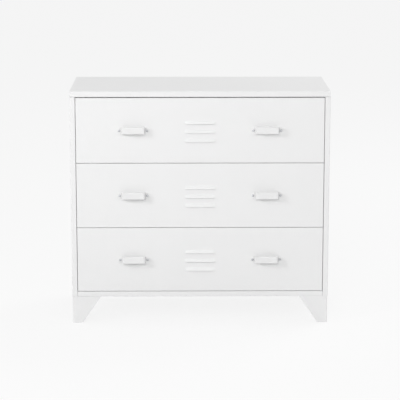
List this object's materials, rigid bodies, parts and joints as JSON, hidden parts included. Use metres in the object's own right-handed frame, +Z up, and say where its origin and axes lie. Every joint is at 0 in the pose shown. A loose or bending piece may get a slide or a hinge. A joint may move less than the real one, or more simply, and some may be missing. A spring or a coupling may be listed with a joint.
{
  "type": "sheet-metal chest of drawers",
  "caption": "White powder-coated steel chest of equal drawers on folded corner feet, with louvred fronts, strip handles and ball-bearing drawer runners.",
  "frame": {"origin": "at floor level, under the middle of the overall box, handles included", "axes": "+X to the viewer's right along the width, +Y from the drawer fronts to the back, +Z up"},
  "size_m": [0.9, 0.428, 0.825],
  "materials": {
    "white_paint": "white powder coat, satin, very fine orange-peel texture",
    "handle_paint": "white powder coat, satin",
    "plated_runners": "bright zinc plate with fine rolling lines",
    "plated_fasteners": "zinc-plated steel",
    "nylon_glides": "moulded nylon, matt"
  },
  "bodies": {
    "case": {"top_panel": "white_paint", "back_panel": "white_paint", "bottom_panel": "white_paint", "bottom_rail": "white_paint", "foot_glides": "nylon_glides", "foot_bolts": "plated_fasteners", "back_panel_screws": "plated_fasteners", "case_runner_screws": "plated_fasteners", "left_side_panel": "white_paint", "right_side_panel": "white_paint", "front_left_upright": "white_paint", "front_right_upright": "white_paint", "rear_left_upright": "white_paint", "rear_right_upright": "white_paint", "front_left_foot": "white_paint", "front_right_foot": "white_paint", "rear_left_foot": "white_paint", "rear_right_foot": "white_paint", "bottom_left_case_runner": "plated_runners", "bottom_right_case_runner": "plated_runners", "middle_left_case_runner": "plated_runners", "middle_right_case_runner": "plated_runners", "top_left_case_runner": "plated_runners", "top_right_case_runner": "plated_runners"},
    "bottom_drawer": {"bottom_drawer_front": "white_paint", "bottom_drawer_floor": "white_paint", "bottom_drawer_back": "white_paint", "bottom_drawer_fasteners": "plated_fasteners", "bottom_drawer_left_side": "white_paint", "bottom_drawer_left_handle": "handle_paint", "bottom_drawer_left_runner": "plated_runners", "bottom_drawer_right_side": "white_paint", "bottom_drawer_right_handle": "handle_paint", "bottom_drawer_right_runner": "plated_runners"},
    "middle_drawer": {"middle_drawer_front": "white_paint", "middle_drawer_floor": "white_paint", "middle_drawer_back": "white_paint", "middle_drawer_fasteners": "plated_fasteners", "middle_drawer_left_side": "white_paint", "middle_drawer_left_handle": "handle_paint", "middle_drawer_left_runner": "plated_runners", "middle_drawer_right_side": "white_paint", "middle_drawer_right_handle": "handle_paint", "middle_drawer_right_runner": "plated_runners"},
    "top_drawer": {"top_drawer_front": "white_paint", "top_drawer_floor": "white_paint", "top_drawer_back": "white_paint", "top_drawer_fasteners": "plated_fasteners", "top_drawer_left_side": "white_paint", "top_drawer_left_handle": "handle_paint", "top_drawer_left_runner": "plated_runners", "top_drawer_right_side": "white_paint", "top_drawer_right_handle": "handle_paint", "top_drawer_right_runner": "plated_runners"},
    "bottom_left_cage": {"bottom_left_ball_cage": "plated_runners"},
    "bottom_right_cage": {"bottom_right_ball_cage": "plated_runners"},
    "middle_left_cage": {"middle_left_ball_cage": "plated_runners"},
    "middle_right_cage": {"middle_right_ball_cage": "plated_runners"},
    "top_left_cage": {"top_left_ball_cage": "plated_runners"},
    "top_right_cage": {"top_right_ball_cage": "plated_runners"}
  },
  "joints": [
    {"name": "bottom_drawer_slide", "type": "slide", "parent": "case", "child": "bottom_drawer", "axis": [0, -1, 0], "range_m": [0, 0.25]},
    {"name": "middle_drawer_slide", "type": "slide", "parent": "case", "child": "middle_drawer", "axis": [0, -1, 0], "range_m": [0, 0.25]},
    {"name": "top_drawer_slide", "type": "slide", "parent": "case", "child": "top_drawer", "axis": [0, -1, 0], "range_m": [0, 0.25]},
    {"name": "bottom_left_cage_slide", "type": "slide", "parent": "case", "child": "bottom_left_cage", "axis": [0, -1, 0], "range_m": [0, 0.125]},
    {"name": "bottom_right_cage_slide", "type": "slide", "parent": "case", "child": "bottom_right_cage", "axis": [0, -1, 0], "range_m": [0, 0.125]},
    {"name": "middle_left_cage_slide", "type": "slide", "parent": "case", "child": "middle_left_cage", "axis": [0, -1, 0], "range_m": [0, 0.125]},
    {"name": "middle_right_cage_slide", "type": "slide", "parent": "case", "child": "middle_right_cage", "axis": [0, -1, 0], "range_m": [0, 0.125]},
    {"name": "top_left_cage_slide", "type": "slide", "parent": "case", "child": "top_left_cage", "axis": [0, -1, 0], "range_m": [0, 0.125]},
    {"name": "top_right_cage_slide", "type": "slide", "parent": "case", "child": "top_right_cage", "axis": [0, -1, 0], "range_m": [0, 0.125]}
  ],
  "couplings": [
    {"joint": "bottom_left_cage_slide", "follows": "bottom_drawer_slide", "ratio": 0.5},
    {"joint": "bottom_right_cage_slide", "follows": "bottom_drawer_slide", "ratio": 0.5},
    {"joint": "middle_left_cage_slide", "follows": "middle_drawer_slide", "ratio": 0.5},
    {"joint": "middle_right_cage_slide", "follows": "middle_drawer_slide", "ratio": 0.5},
    {"joint": "top_left_cage_slide", "follows": "top_drawer_slide", "ratio": 0.5},
    {"joint": "top_right_cage_slide", "follows": "top_drawer_slide", "ratio": 0.5}
  ]
}
